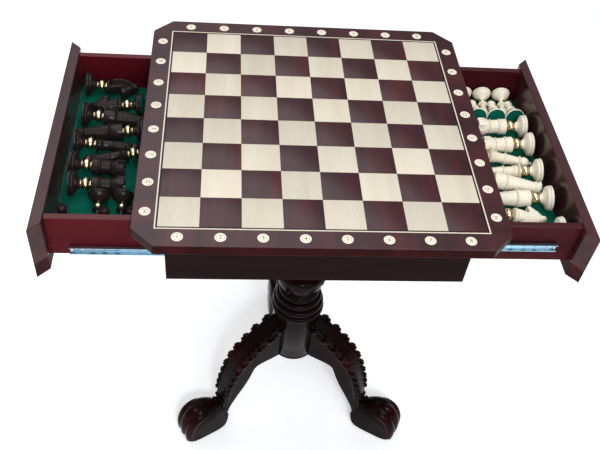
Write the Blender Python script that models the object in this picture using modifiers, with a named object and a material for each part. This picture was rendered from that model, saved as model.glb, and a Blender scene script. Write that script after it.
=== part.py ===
"""Chess table with two side drawers on a turned tripod pedestal.

Frame: metres, +Z up, origin on the floor under the middle of the top. +X is the right-hand drawer's
side, -Y is the player's side. At rest both drawers stand at their open stops.
"""

import math

import bmesh
import bpy
from mathutils import Vector

GAP = 0.0003                     # clearance between pieces that touch

# Top and playing field
SQUARE = 0.055
HEIGHT = 0.726
TOP_SIDE = 0.506
TOP_THICK = 0.016
TOP_CORNER_CUT = 0.030
INLAY_THICK = 0.0012
FIELD_HALF = 0.2188              # the outer squares are trimmed by the stringing
LINE_WIDTH = 0.0018

# Case under the top
CASE_SIDE = 0.426
BOARD = 0.016                    # thickness of aprons, drawer fronts and case bottom
APRON_DEPTH = 0.099
DIVIDER = 0.010
CLEAT = (0.360, 0.0084, 0.020)

# Drawers
OPENING = 0.174                  # how far each drawer is out at rest, and its whole travel
FRONT_DEPTH = 0.094
BOX_HALF_WIDTH = 0.1867
BOX_WALL = 0.010
BOX_LENGTH = 0.189
BOX_TOP = 0.7024
BOX_BOTTOM = 0.6325
TRAY_PANEL = 0.004
TRAY_RAISE = 0.005               # bottom panel above the lower edge of the sides
GROOVE_DEEP = 0.005
FELT_THICK = 0.0012

# Ball-bearing slides: the left pair runs below the right pair
SLIDE_Z = {"left": 0.645, "right": 0.665}
CABINET_MEMBER = (0.250, 0.018, 0.0085)      # length, height, depth of channel
DRAWER_MEMBER = (0.250, 0.0124, 0.0070)
CAGE = (0.094, 0.0149, 0.0058)
SHEET = 0.0010
CAGE_SHEET = 0.0006
CABINET_MEMBER_START = 0.194
DRAWER_MEMBER_SETBACK = 0.029

# Pedestal, standing slightly to the right of the middle of the case
PEDESTAL_X = 0.010
PLATE_SIDE = 0.170
PLATE_THICK = 0.014
HUB_RADIUS = 0.045
HUB_BOTTOM = 0.154
HUB_TOP = 0.3327
ROD_RADIUS = 0.005
NUT_SPACE_RADIUS = 0.016
NUT_SPACE_DEPTH = 0.026
DOWEL_RADIUS = 0.005
DOWEL_LENGTH = 0.040
DOWEL_HEIGHTS = {"upper": 0.232, "lower": 0.182}
SCREW_SPREAD = 0.065
LEG_ANGLES = {"front_left": -150.0, "front_right": -30.0, "rear": 92.5}
SOLE_THICK = 0.005

TURNED_STEPS = 48
ROUND_STEPS = 24

TOP_UNDER = HEIGHT - TOP_THICK
CASE_HALF = CASE_SIDE / 2
CASE_INNER = CASE_HALF - BOARD
CASE_UNDER = TOP_UNDER - APRON_DEPTH
PLATE_TOP = CASE_UNDER - GAP
PLATE_UNDER = PLATE_TOP - PLATE_THICK

parts = bpy.data.collections.new("chess_table")
cutters = bpy.data.collections.new("chess_table_cutters")


# ---------------------------------------------------------------- materials

def finish(name, colour, roughness, metallic=0.0):
    material = bpy.data.materials.new(name)
    material.use_nodes = True
    shader = material.node_tree.nodes["Principled BSDF"]
    shader.inputs["Base Color"].default_value = (*colour, 1.0)
    shader.inputs["Roughness"].default_value = roughness
    shader.inputs["Metallic"].default_value = metallic
    material.diffuse_color = (*colour, 1.0)
    material.roughness = roughness
    material.metallic = metallic
    return material


def clear_scene():
    for thing in list(bpy.data.objects):
        bpy.data.objects.remove(thing, do_unlink=True)
    bpy.context.scene.collection.children.link(parts)
    bpy.context.scene.collection.children.link(cutters)


# ---------------------------------------------------------------- shape helpers

def place(thing, collection, material=None, parent=None):
    """Moves a new object to its collection, gives it its material and hangs it on its parent."""
    for home in list(thing.users_collection):
        home.objects.unlink(thing)
    collection.objects.link(thing)
    if material:
        thing.data.materials.append(material)
    if parent:
        thing.parent = parent
    return thing


def empty(name, location=(0.0, 0.0, 0.0), angle=0.0):
    thing = bpy.data.objects.new(name, None)
    thing.location = location
    thing.rotation_euler = (0.0, 0.0, math.radians(angle))
    parts.objects.link(thing)
    return thing


def block(name, low, high, material=None, parent=None, bevel=0.0, collection=parts):
    """A rectangular piece between two corners, its edges broken by a small bevel."""
    size = [b - a for a, b in zip(low, high)]
    centre = [(a + b) / 2 for a, b in zip(low, high)]
    mesh = bpy.data.meshes.new(name)
    shape = bmesh.new()
    bmesh.ops.create_cube(shape, size=1.0)
    bmesh.ops.scale(shape, vec=size, verts=shape.verts)
    shape.to_mesh(mesh)
    shape.free()
    thing = bpy.data.objects.new(name, mesh)
    thing.location = centre
    if bevel:
        add_bevel(thing, bevel)
    return place(thing, collection, material, parent)


def rod(name, radius, length, location, material=None, parent=None, along="Z", steps=ROUND_STEPS,
        collection=parts):
    """A plain cylinder, or a hexagonal prism with steps=6, centred on its location."""
    mesh = bpy.data.meshes.new(name)
    shape = bmesh.new()
    bmesh.ops.create_cone(
        shape, cap_ends=True, segments=steps, radius1=radius, radius2=radius, depth=length
    )
    shape.to_mesh(mesh)
    shape.free()
    thing = bpy.data.objects.new(name, mesh)
    thing.location = location
    if along == "X":
        thing.rotation_euler = (0.0, math.pi / 2, 0.0)
    smooth(thing)
    return place(thing, collection, material, parent)


def outline_solid(name, outline, thickness, material, parent=None):
    """A closed flat outline in local XY, extruded evenly to both sides of it along local Z."""
    curve = bpy.data.curves.new(name + "_outline", "CURVE")
    curve.dimensions = "2D"
    curve.fill_mode = "BOTH"
    curve.extrude = thickness / 2
    spline = curve.splines.new("POLY")
    spline.points.add(len(outline) - 1)
    for point, (x, y) in zip(spline.points, outline):
        point.co = (x, y, 0.0, 1.0)
    spline.use_cyclic_u = True
    drawn = bpy.data.objects.new(name + "_outline", curve)
    cutters.objects.link(drawn)
    graph = bpy.context.evaluated_depsgraph_get()
    mesh = bpy.data.meshes.new_from_object(drawn.evaluated_get(graph))
    bpy.data.objects.remove(drawn, do_unlink=True)
    shape = bmesh.new()
    shape.from_mesh(mesh)
    bmesh.ops.remove_doubles(shape, verts=shape.verts, dist=1e-6)
    bmesh.ops.recalc_face_normals(shape, faces=shape.faces)
    shape.to_mesh(mesh)
    shape.free()
    mesh.name = name
    thing = bpy.data.objects.new(name, mesh)
    return place(thing, parts, material, parent)


def extruded_along_x(name, outline, length, centre, material, parent):
    """A profile drawn in the YZ plane and run along X, like a grooved board or a rolled channel."""
    thing = outline_solid(name, outline, length, material, parent)
    thing.rotation_euler = (math.pi / 2, 0.0, math.pi / 2)
    thing.location = centre
    return thing


def turned(name, profile, material, location=(0.0, 0.0, 0.0), parent=None):
    """A lathe-turned piece. The profile runs from the axis at the top down to the axis at the bottom."""
    mesh = bpy.data.meshes.new(name)
    points = [(radius, 0.0, height) for radius, height in profile]
    edges = [(i, i + 1) for i in range(len(points) - 1)]
    mesh.from_pydata(points, edges, [])
    thing = bpy.data.objects.new(name, mesh)
    thing.location = location
    screw = thing.modifiers.new("turning", "SCREW")
    screw.steps = TURNED_STEPS
    screw.render_steps = TURNED_STEPS
    screw.use_merge_vertices = True
    screw.merge_threshold = 0.00001
    return place(thing, parts, material, parent)


def bead(inner, outer, top, bottom, steps=6):
    """Points of a half-round turned ring that swells from radius inner to outer."""
    middle = (top + bottom) / 2
    half = (top - bottom) / 2
    angles = [math.pi * i / steps for i in range(steps + 1)]
    return [(inner + (outer - inner) * math.sin(a), middle + half * math.cos(a)) for a in angles]


def smooth(thing):
    thing.data.shade_smooth()
    thing.data.set_sharp_from_angle(angle=math.radians(35))


def add_bevel(thing, width, segments=1):
    modifier = thing.modifiers.new("edges", "BEVEL")
    modifier.width = width
    modifier.segments = segments
    modifier.limit_method = "ANGLE"
    modifier.angle_limit = math.radians(40)


def cut(thing, cutter):
    modifier = thing.modifiers.new("cut_" + cutter.name, "BOOLEAN")
    modifier.operation = "DIFFERENCE"
    modifier.solver = "EXACT"
    modifier.object = cutter


def as_cutter(thing):
    thing.hide_render = True
    thing.display_type = "WIRE"
    return thing


def joined_cutter(name, pieces):
    """Several cutters that never meet, joined into one mesh in world coordinates."""
    bpy.context.view_layer.update()
    shape = bmesh.new()
    for piece in pieces:
        copy = piece.data.copy()
        copy.transform(piece.matrix_world)
        shape.from_mesh(copy)
        bpy.data.meshes.remove(copy)
    mesh = bpy.data.meshes.new(name)
    shape.to_mesh(mesh)
    shape.free()
    for piece in pieces:
        bpy.data.objects.remove(piece, do_unlink=True)
    thing = bpy.data.objects.new(name, mesh)
    return as_cutter(place(thing, cutters))


# ---------------------------------------------------------------- top

def square_outline(half):
    return [(-half, -half), (half, -half), (half, half), (-half, half)]


def octagon_outline(half, corner):
    inner = half - corner
    quarter = [(-inner, -half), (inner, -half)]
    outline = []
    for turn in range(4):
        for x, y in quarter:
            for _ in range(turn):
                x, y = -y, x
            outline.append((x, y))
    return outline


def inlaid_line(name, outer, material):
    """A square frame of veneer, one line wide."""
    level = HEIGHT - INLAY_THICK / 2
    thing = outline_solid(name, square_outline(outer), INLAY_THICK, material)
    thing.location = (0.0, 0.0, level)
    inner = outer - LINE_WIDTH
    low = (-inner, -inner, HEIGHT - 2 * INLAY_THICK)
    high = (inner, inner, HEIGHT + INLAY_THICK)
    cut(thing, as_cutter(block(name + "_inside", low, high, collection=cutters)))
    return thing


def build_top(mahogany, maple, ebony):
    dark_outer = FIELD_HALF + GAP + LINE_WIDTH
    light_outer = dark_outer + GAP + LINE_WIDTH
    recess = light_outer + GAP

    tabletop = outline_solid(
        "tabletop", octagon_outline(TOP_SIDE / 2, TOP_CORNER_CUT), TOP_THICK, mahogany
    )
    tabletop.location = (0.0, 0.0, HEIGHT - TOP_THICK / 2)
    add_bevel(tabletop, 0.0012, 2)
    low = (-recess, -recess, HEIGHT - INLAY_THICK - GAP)
    high = (recess, recess, HEIGHT + INLAY_THICK)
    cut(tabletop, as_cutter(block("inlay_recess", low, high, collection=cutters)))

    low = (-FIELD_HALF, -FIELD_HALF, HEIGHT - INLAY_THICK)
    block("playing_field", low, (FIELD_HALF, FIELD_HALF, HEIGHT), maple)
    inlaid_line("stringing_dark", dark_outer, ebony)
    inlaid_line("stringing_light", light_outer, maple)


# ---------------------------------------------------------------- case

def mitred_board(name, depth, top, material, angle, outer, parent=None):
    """A board seen edge-on from above: outer face longer than the inner, both ends cut at 45 degrees."""
    inner = outer - BOARD
    outline = [(-outer, -outer), (outer, -outer), (inner, -inner), (-inner, -inner)]
    # a hair of clearance along the mitres, so neighbouring boards don't touch
    outline = [(x - math.copysign(GAP, x), y) for x, y in outline]
    thing = outline_solid(name, outline, depth, material, parent)
    thing.rotation_euler = (0.0, 0.0, math.radians(angle))
    thing.location = (0.0, 0.0, top - depth / 2)
    add_bevel(thing, 0.0008)
    return thing


def build_case(mahogany, plywood):
    apron_top = TOP_UNDER - GAP
    depth = apron_top - CASE_UNDER
    mitred_board("apron_front", depth, apron_top, mahogany, 0.0, CASE_HALF)
    mitred_board("apron_back", depth, apron_top, mahogany, 180.0, CASE_HALF)

    half_x = CASE_INNER - 0.001
    half_y = CASE_INNER - GAP
    bottom_top = CASE_UNDER + BOARD
    block("case_bottom", (-half_x, -half_y, CASE_UNDER), (half_x, half_y, bottom_top), plywood)

    divider_y = BOX_HALF_WIDTH - 0.001
    low = (-DIVIDER / 2, -divider_y, bottom_top + GAP)
    block("centre_divider", low, (DIVIDER / 2, divider_y, apron_top), plywood)

    length, width, height = CLEAT
    for name, side in (("front_cleat", -1), ("rear_cleat", 1)):
        outer = side * (CASE_INNER - GAP)
        inner = outer - side * width
        low = (-length / 2, min(outer, inner), apron_top - height)
        block(name, low, (length / 2, max(outer, inner), apron_top), plywood)


# ---------------------------------------------------------------- slides

def channel_outline(height, depth, sheet, opens):
    """A C-shaped rolled channel in YZ: web at y=0, flanges reaching to y=opens*depth."""
    half = height / 2
    outline = [
        (0.0, -half),
        (depth, -half),
        (depth, -half + sheet),
        (sheet, -half + sheet),
        (sheet, half - sheet),
        (depth, half - sheet),
        (depth, half),
        (0.0, half),
    ]
    return [(opens * y, z) for y, z in outline]


def build_slide(side, where, out, drawer, cages, zinc, brass):
    """One slide: cabinet member on the apron, ball cage, and drawer member on the drawer's side."""
    level = SLIDE_Z[side]
    across = -1 if where == "near" else 1
    prefix = f"{side}_{where}"

    length, height, depth = CABINET_MEMBER
    centre = (out * (CABINET_MEMBER_START - length / 2), across * (CASE_INNER - GAP), level)
    outline = channel_outline(height, depth, SHEET, -across)
    extruded_along_x(f"{prefix}_cabinet_member", outline, length, centre, zinc, None)

    length, height, depth = DRAWER_MEMBER
    start = CASE_INNER - DRAWER_MEMBER_SETBACK
    centre = (out * (start - length / 2), across * (BOX_HALF_WIDTH + GAP), level)
    outline = channel_outline(height, depth, SHEET, across)
    extruded_along_x(f"{prefix}_drawer_member", outline, length, centre, zinc, drawer)

    length, height, depth = CAGE
    open_end = CABINET_MEMBER_START - 0.004
    start = open_end - OPENING / 2
    face = CASE_INNER - GAP - SHEET - GAP
    centre = (out * (start - length / 2), across * face, level)
    outline = channel_outline(height, depth, CAGE_SHEET, -across)
    extruded_along_x(f"{prefix}_ball_cage", outline, length, centre, brass, cages)


# ---------------------------------------------------------------- drawers

def side_outline(outward):
    """Drawer side in YZ, with the groove for the bottom panel; local y=0 is its outer face."""
    half = (BOX_TOP - BOX_BOTTOM) / 2
    groove_low = -half + TRAY_RAISE
    groove_high = groove_low + TRAY_PANEL + 2 * GAP
    floor = BOX_WALL - GROOVE_DEEP
    outline = [
        (0.0, -half),
        (BOX_WALL, -half),
        (BOX_WALL, groove_low),
        (floor, groove_low),
        (floor, groove_high),
        (BOX_WALL, groove_high),
        (BOX_WALL, half),
        (0.0, half),
    ]
    return [(-outward * y, z) for y, z in outline]


def build_drawer(side, out, mahogany, stained, felt, zinc, brass):
    """The drawer is laid out closed, then its empty is moved out by OPENING along its joint axis."""
    drawer = empty(f"{side}_drawer_slide", (out * OPENING, 0.0, 0.0))
    cages = empty(f"{side}_cage_roll", (out * OPENING / 2, 0.0, 0.0))

    top = CASE_UNDER + FRONT_DEPTH
    angle = 90.0 if out > 0 else -90.0
    mitred_board(f"{side}_drawer_front", FRONT_DEPTH, top, mahogany, angle, CASE_HALF, drawer)

    front = CASE_INNER - GAP
    back = front - BOX_LENGTH
    middle = out * (front + back) / 2
    level = (BOX_TOP + BOX_BOTTOM) / 2
    for where, across in (("near", -1), ("far", 1)):
        centre = (middle, across * BOX_HALF_WIDTH, level)
        name = f"{side}_drawer_{where}_side"
        board = extruded_along_x(name, side_outline(across), BOX_LENGTH, centre, stained, drawer)
        add_bevel(board, 0.0006)

    inside = BOX_HALF_WIDTH - BOX_WALL
    ends = sorted((out * back, out * (back + BOX_WALL)))
    panel_low = BOX_BOTTOM + TRAY_RAISE + GAP
    panel_high = panel_low + TRAY_PANEL
    low = (ends[0], -inside + GAP, panel_high + GAP)
    block(f"{side}_drawer_back", low, (ends[1], inside - GAP, BOX_TOP), stained, drawer, 0.0006)

    half = inside + GROOVE_DEEP - GAP
    ends = sorted((out * back, out * (front - GAP)))
    low = (ends[0], -half, panel_low)
    block(f"{side}_drawer_bottom", low, (ends[1], half, panel_high), stained, drawer)

    half = inside - GAP
    ends = sorted((out * (back + BOX_WALL + GAP), out * (front - GAP)))
    low = (ends[0], -half, panel_high + GAP)
    block(f"{side}_drawer_felt", low, (ends[1], half, panel_high + GAP + FELT_THICK), felt, drawer)

    for where in ("near", "far"):
        build_slide(side, where, out, drawer, cages, zinc, brass)


# ---------------------------------------------------------------- pedestal

def column_profile():
    """Top flange, bead, long vase-shaped baluster, bead and the cup that stands on the hub's rings."""
    top = PLATE_UNDER - GAP
    profile = [(0.0, top), (0.046, top), (0.046, top - 0.009), (0.032, top - 0.018)]
    profile += bead(0.031, 0.037, top - 0.020, top - 0.030)
    profile += [(0.027, top - 0.036)]
    profile += [(0.026, 0.545), (0.0285, 0.515), (0.034, 0.482), (0.0405, 0.455)]
    profile += [(0.0435, 0.435), (0.0415, 0.419), (0.034, 0.409)]
    profile += bead(0.030, 0.037, 0.406, 0.396)
    profile += [(0.034, 0.393), (0.046, 0.388), (0.0475, 0.378), (0.0455, 0.364)]
    profile += [(0.0410, 0.350), (0.0365, 0.340), (0.035, HUB_TOP + GAP), (0.0, HUB_TOP + GAP)]
    return profile


def hub_profile():
    """Four beads, each wider than the one above, over a plain cylinder that the legs are joined to."""
    profile = [(0.0, HUB_TOP)]
    profile += bead(0.0340, 0.0375, HUB_TOP, 0.3205)
    profile += bead(0.0360, 0.0430, 0.3200, 0.3060)
    profile += bead(0.0410, 0.0475, 0.3055, 0.2905)
    profile += bead(0.0455, 0.0495, 0.2900, 0.2770)
    profile += [(HUB_RADIUS, 0.2730), (HUB_RADIUS, HUB_BOTTOM + 0.003)]
    profile += [(HUB_RADIUS - 0.003, HUB_BOTTOM), (0.0, HUB_BOTTOM)]
    return profile


def dowel_holes():
    """One cutter for all the dowel holes, in the hub and in the legs alike."""
    pieces, turns = [], []
    for leg, angle in LEG_ANGLES.items():
        turn = empty(f"{leg}_holes", (PEDESTAL_X, 0.0, 0.0), angle)
        turns.append(turn)
        for level, height in DOWEL_HEIGHTS.items():
            hole = rod(
                f"hole_{leg}_{level}", DOWEL_RADIUS + GAP, DOWEL_LENGTH + 2 * GAP,
                (HUB_RADIUS, 0.0, height), parent=turn, along="X", collection=cutters,
            )
            pieces.append(hole)
    holes = joined_cutter("dowel_holes", pieces)
    for turn in turns:
        bpy.data.objects.remove(turn, do_unlink=True)
    return holes


def build_dowels(beech):
    for leg, angle in LEG_ANGLES.items():
        turn = empty(f"{leg}_dowels", (PEDESTAL_X, 0.0, 0.0), angle)
        for level, height in DOWEL_HEIGHTS.items():
            rod(
                f"{leg}_{level}_dowel", DOWEL_RADIUS, DOWEL_LENGTH, (HUB_RADIUS, 0.0, height),
                beech, turn, along="X",
            )


def build_column(dark_wood, steel, holes):
    axis = (PEDESTAL_X, 0.0)
    bore = as_cutter(
        rod("rod_bore", ROD_RADIUS + GAP, HEIGHT, (*axis, HEIGHT / 2), collection=cutters)
    )
    nut_space = as_cutter(
        rod("nut_space", NUT_SPACE_RADIUS, 2 * NUT_SPACE_DEPTH, (*axis, HUB_BOTTOM),
            collection=cutters)
    )

    column = turned("column", column_profile(), dark_wood, (*axis, 0.0))
    cut(column, bore)
    hub = turned("hub", hub_profile(), dark_wood, (*axis, 0.0))
    cut(hub, bore)
    cut(hub, nut_space)
    cut(hub, holes)

    ceiling = HUB_BOTTOM + NUT_SPACE_DEPTH
    washer = rod("hub_washer", 0.013, 0.002, (*axis, ceiling - GAP - 0.001), steel)
    cut(washer, bore)
    nut_top = ceiling - GAP - 0.002 - GAP
    nut = rod("hub_nut", 0.0095, 0.008, (*axis, nut_top - 0.004), steel, steps=6)
    cut(nut, bore)
    rod_low = nut_top - 0.012
    rod_high = PLATE_TOP - 0.001
    rod("tie_rod", ROD_RADIUS, rod_high - rod_low, (*axis, (rod_low + rod_high) / 2), steel)
    cap_radius = NUT_SPACE_RADIUS - GAP
    cap = [(0.0, HUB_BOTTOM + 0.006), (cap_radius, HUB_BOTTOM + 0.006)]
    cap += [(cap_radius, HUB_BOTTOM + 0.001), (cap_radius - 0.002, HUB_BOTTOM - 0.001)]
    cap += [(0.0, HUB_BOTTOM - 0.0015)]
    turned("hub_cap", cap, dark_wood, (*axis, 0.0))
    return bore


def build_plate(dark_wood, steel, bore):
    half = PLATE_SIDE / 2
    low = (PEDESTAL_X - half, -half, PLATE_UNDER)
    plate = block("mounting_plate", low, (PEDESTAL_X + half, half, PLATE_TOP), dark_wood,
                  bevel=0.003)
    pocket_depth = 0.010
    pocket = as_cutter(
        rod("nut_pocket", 0.012, 2 * pocket_depth, (PEDESTAL_X, 0.0, PLATE_TOP),
            collection=cutters)
    )
    cut(plate, bore)
    cut(plate, pocket)
    nut = rod("plate_nut", 0.0095, 0.008, (PEDESTAL_X, 0.0, PLATE_TOP - pocket_depth + GAP + 0.004),
              steel, steps=6)
    cut(nut, bore)

    shank, head, length, head_thick = 0.0022, 0.0048, 0.024, 0.0025
    screw_holes = []
    for i, (sx, sy) in enumerate(((-1, -1), (1, -1), (1, 1), (-1, 1)), start=1):
        x, y = PEDESTAL_X + sx * SCREW_SPREAD, sy * SCREW_SPREAD
        low = PLATE_UNDER - GAP
        profile = [(0.0, low + length), (shank * 0.4, low + length), (shank, low + length - 0.004)]
        profile += [(shank, low), (head, low), (head * 0.8, low - head_thick)]
        profile += [(0.0, low - head_thick)]
        turned(f"plate_screw_{i}", profile, steel, (x, y, 0.0))
        screw_holes.append(
            rod(f"screw_hole_{i}", shank + GAP, 0.0265, (x, y, PLATE_UNDER + 0.0120),
                collection=cutters)
        )
    holes = joined_cutter("screw_holes", screw_holes)
    cut(plate, holes)
    cut(bpy.data.objects["case_bottom"], holes)


# ---------------------------------------------------------------- legs

# Stations along a leg: crest point, underside point (distance from the axis, height), half-width of
# the carved crest band and of the web under it, in millimetres. The last stations are the paw.
LEG_STATIONS = [
    ((30, 266), (30, 154.0), 19, 17),
    ((58, 251), (60, 154.2), 20, 17),
    ((80, 238), (80, 154.6), 21, 17),
    ((104, 219), (96, 149), 21, 17),
    ((127, 198), (107, 124), 21, 17),
    ((144, 173), (119, 101), 20, 17),
    ((157, 143), (131, 80), 19, 16),
    ((166, 110), (141, 63), 18, 16),
    ((170, 83), (149, 48), 17, 16),
    ((168, 63), (154, 33), 15, 16),
]
PAW_STATIONS = [
    ((177, 72), (157, 17), 17, 19),
    ((190, 83), (163, 8), 21, 23),
    ((206, 89), (173, 5.3), 25, 26),
    ((222, 88), (190, 5.3), 27, 28),
    ((236, 78), (212, 5.3), 27, 28),
    ((247, 58), (230, 5.3), 25, 27),
    ((252.5, 34), (242, 5.3), 21, 24),
    ((250, 14), (246, 5.3), 16, 18),
]


def leg_section(station, paw):
    """Eight points round a leg at one station, as (distance, across, height) in metres."""
    (crest_r, crest_z), (under_r, under_z), crest_half, web_half = station
    deep = math.hypot(crest_r - under_r, crest_z - under_z)
    if paw:
        shape = [(0.55 * crest_half, 0.0), (crest_half, 0.3), (web_half, 0.65), (0.8 * web_half, 1.0)]
    else:
        band = min(22.0, 0.45 * deep) / deep
        shape = [(crest_half, 0.0), (crest_half, band), (web_half, band + 3.0 / deep), (web_half, 1.0)]
    loop = [(half, down) for half, down in shape] + [(-half, down) for half, down in reversed(shape)]
    section = []
    for half, down in loop:
        r = crest_r + (under_r - crest_r) * down
        z = crest_z + (under_z - crest_z) * down
        section.append(Vector((r, half, z)) / 1000.0)
    return section


def leg_mesh():
    """The leg and its paw, skinned over the stations, because no tool lofts unlike sections."""
    sections = [leg_section(station, False) for station in LEG_STATIONS]
    sections += [leg_section(station, True) for station in PAW_STATIONS]
    shape = bmesh.new()
    rings = [[shape.verts.new(point) for point in section] for section in sections]
    count = len(rings[0])
    for ring, following in zip(rings, rings[1:]):
        for i in range(count):
            j = (i + 1) % count
            shape.faces.new((ring[i], ring[j], following[j], following[i]))
    shape.faces.new(reversed(rings[0]))
    shape.faces.new(rings[-1])
    bmesh.ops.recalc_face_normals(shape, faces=shape.faces)
    mesh = bpy.data.meshes.new("leg")
    shape.to_mesh(mesh)
    shape.free()
    return mesh


def sole_outline():
    return [(0.184, -0.016), (0.190, -0.020), (0.228, -0.020), (0.238, -0.014), (0.241, 0.0),
            (0.238, 0.014), (0.228, 0.020), (0.190, 0.020), (0.184, 0.016)]


def build_legs(dark_wood, sole_pad, holes):
    clearance = as_cutter(
        rod("hub_clearance", HUB_RADIUS + GAP, HEIGHT, (PEDESTAL_X, 0.0, HEIGHT / 4),
            steps=TURNED_STEPS, collection=cutters)
    )
    for name, angle in LEG_ANGLES.items():
        leg = bpy.data.objects.new(f"{name}_leg", leg_mesh())
        leg.location = (PEDESTAL_X, 0.0, 0.0)
        leg.rotation_euler = (0.0, 0.0, math.radians(angle))
        place(leg, parts, dark_wood)
        smooth(leg)
        cut(leg, clearance)
        cut(leg, holes)
        pad = outline_solid(f"{name}_foot_pad", sole_outline(), SOLE_THICK, sole_pad)
        pad.location = (PEDESTAL_X, 0.0, SOLE_THICK / 2)
        pad.rotation_euler = (0.0, 0.0, math.radians(angle))


# ---------------------------------------------------------------- assembly

def build():
    clear_scene()
    mahogany = finish("mahogany_veneer", (0.075, 0.030, 0.034), 0.32)
    maple = finish("maple_veneer", (0.80, 0.72, 0.56), 0.35)
    ebony = finish("ebony_line", (0.025, 0.018, 0.018), 0.35)
    plywood = finish("stained_plywood", (0.050, 0.020, 0.018), 0.60)
    stained = finish("red_stained_wood", (0.110, 0.018, 0.024), 0.40)
    felt = finish("green_felt", (0.0, 0.130, 0.085), 0.95)
    dark_wood = finish("dark_turned_wood", (0.022, 0.012, 0.014), 0.25)
    beech = finish("beech_dowel", (0.55, 0.38, 0.22), 0.60)
    zinc = finish("zinc_plated_steel", (0.42, 0.52, 0.60), 0.30, 1.0)
    steel = finish("bright_steel", (0.60, 0.60, 0.60), 0.35, 1.0)
    brass = finish("brass_cage", (0.70, 0.52, 0.22), 0.35, 1.0)
    sole_pad = finish("rubber_sole_pad", (0.020, 0.016, 0.016), 0.80)

    build_top(mahogany, maple, ebony)
    build_case(mahogany, plywood)
    build_drawer("left", -1, mahogany, stained, felt, zinc, brass)
    build_drawer("right", 1, mahogany, stained, felt, zinc, brass)
    holes = dowel_holes()
    bore = build_column(dark_wood, steel, holes)
    build_plate(dark_wood, steel, bore)
    build_dowels(beech)
    build_legs(dark_wood, sole_pad, holes)
    for thing in ("column", "hub", "hub_cap"):
        smooth(bpy.data.objects[thing])


build()
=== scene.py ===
"""The looks of a chess table: inlaid top, carved tripod pedestal and two drawers with the chess set.

Frame: metres, +Z up, origin on the floor under the middle of the top. +X is the right-hand drawer's
side, -Y is the player's side. Both drawers stand open at rest.
"""

import math

import bmesh
import bpy
from mathutils import Matrix, Vector, noise


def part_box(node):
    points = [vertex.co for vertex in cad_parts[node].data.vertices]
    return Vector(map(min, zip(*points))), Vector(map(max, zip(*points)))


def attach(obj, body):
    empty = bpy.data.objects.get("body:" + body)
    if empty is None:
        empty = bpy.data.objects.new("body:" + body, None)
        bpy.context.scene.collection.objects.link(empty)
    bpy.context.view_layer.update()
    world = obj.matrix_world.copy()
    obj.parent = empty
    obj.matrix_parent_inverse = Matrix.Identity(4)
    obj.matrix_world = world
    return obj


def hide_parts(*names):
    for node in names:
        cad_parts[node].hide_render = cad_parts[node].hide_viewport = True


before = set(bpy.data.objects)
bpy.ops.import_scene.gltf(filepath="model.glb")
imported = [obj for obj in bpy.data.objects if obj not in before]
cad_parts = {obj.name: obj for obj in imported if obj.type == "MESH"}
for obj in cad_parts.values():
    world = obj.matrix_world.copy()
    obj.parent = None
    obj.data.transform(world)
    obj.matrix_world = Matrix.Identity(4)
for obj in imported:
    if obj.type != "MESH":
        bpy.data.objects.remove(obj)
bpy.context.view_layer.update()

MM = 0.001
SQUARE = 0.055
FILES = "ABCDEFGH"
JOINT_LINE = 0.00006                 # half the seam between two veneers
TILE_EDGE = 0.00022                  # rounding of a veneer square's edges
DISC_RADIUS = 0.0076
DISC_PROUD = 0.00012
DISC_PLACE = 4.30 * SQUARE           # from the middle of the board to the row of discs
GLYPH_SIZE = 0.0078

TOP_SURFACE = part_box("tabletop")[1].z
FIELD_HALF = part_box("playing_field")[1].x
INLAY = TOP_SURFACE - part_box("playing_field")[0].z
DRAWER_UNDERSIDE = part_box("left_drawer_bottom")[0].z
AXIS = Matrix.Translation((sum(corner.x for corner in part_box("hub")) / 2, 0.0, 0.0))
LEG_ANGLES = {"front_left": -150.0, "front_right": -30.0, "rear": 92.5}
SIDES = {"left": -1.0, "right": 1.0}


# ---- mesh building

def smooth_curve(points, steps):
    """Points along a smooth curve that passes through the given ones (Catmull-Rom)."""
    curve = []
    last = len(points) - 1
    for i in range(last):
        four = [points[max(i - 1, 0)], points[i], points[i + 1], points[min(i + 2, last)]]
        for k in range(steps):
            t = k / steps
            weights = (
                -t + 2 * t**2 - t**3, 2 - 5 * t**2 + 3 * t**3, t + 4 * t**2 - 3 * t**3, t**3 - t**2,
            )
            curve.append(tuple(
                0.5 * sum(w * point[axis] for w, point in zip(weights, four))
                for axis in range(len(points[0]))
            ))
    return curve + [tuple(points[-1])]


def loft(shape, sections, ring=False):
    """Skins a row of closed sections of equal length, and caps its two ends or joins them up."""
    rows = [[shape.verts.new(point) for point in section] for section in sections]
    count = len(rows[0])
    for row, following in zip(rows, rows[1:] + rows[:1] if ring else rows[1:]):
        for i in range(count):
            j = (i + 1) % count
            shape.faces.new((row[i], row[j], following[j], following[i]))
    if not ring:
        shape.faces.new(reversed(rows[0]))
        shape.faces.new(rows[-1])


def turned(shape, profile, place, steps, carve=None, ring=False):
    """A turned solid. The profile is (radius, height) from end to end; carve changes a radius."""
    sections = []
    for radius, height in profile:
        section = []
        for i in range(steps):
            angle = 2 * math.pi * i / steps
            r = carve(radius, height, angle) if carve else radius
            section.append(place @ Vector((r * math.cos(angle), r * math.sin(angle), height)))
        sections.append(section)
    loft(shape, sections, ring)


def bead(inner, outer, low, high, steps=10):
    """Profile of a rounded ring between two heights."""
    middle, half = (low + high) / 2, (high - low) / 2
    angles = [math.pi * (i / steps - 0.5) for i in range(steps + 1)]
    return [(inner + (outer - inner) * math.cos(a), middle + half * math.sin(a)) for a in angles]


def blob(shape, place, centre, size, tilt=0.0):
    """An ellipsoid, tilted about the axis across the carving."""
    matrix = place @ Matrix.Translation(centre) @ Matrix.Rotation(tilt, 4, "Y")
    turned(shape, BALL_PROFILE, matrix @ Matrix.Diagonal((*size, 1.0)), 14)


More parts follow.
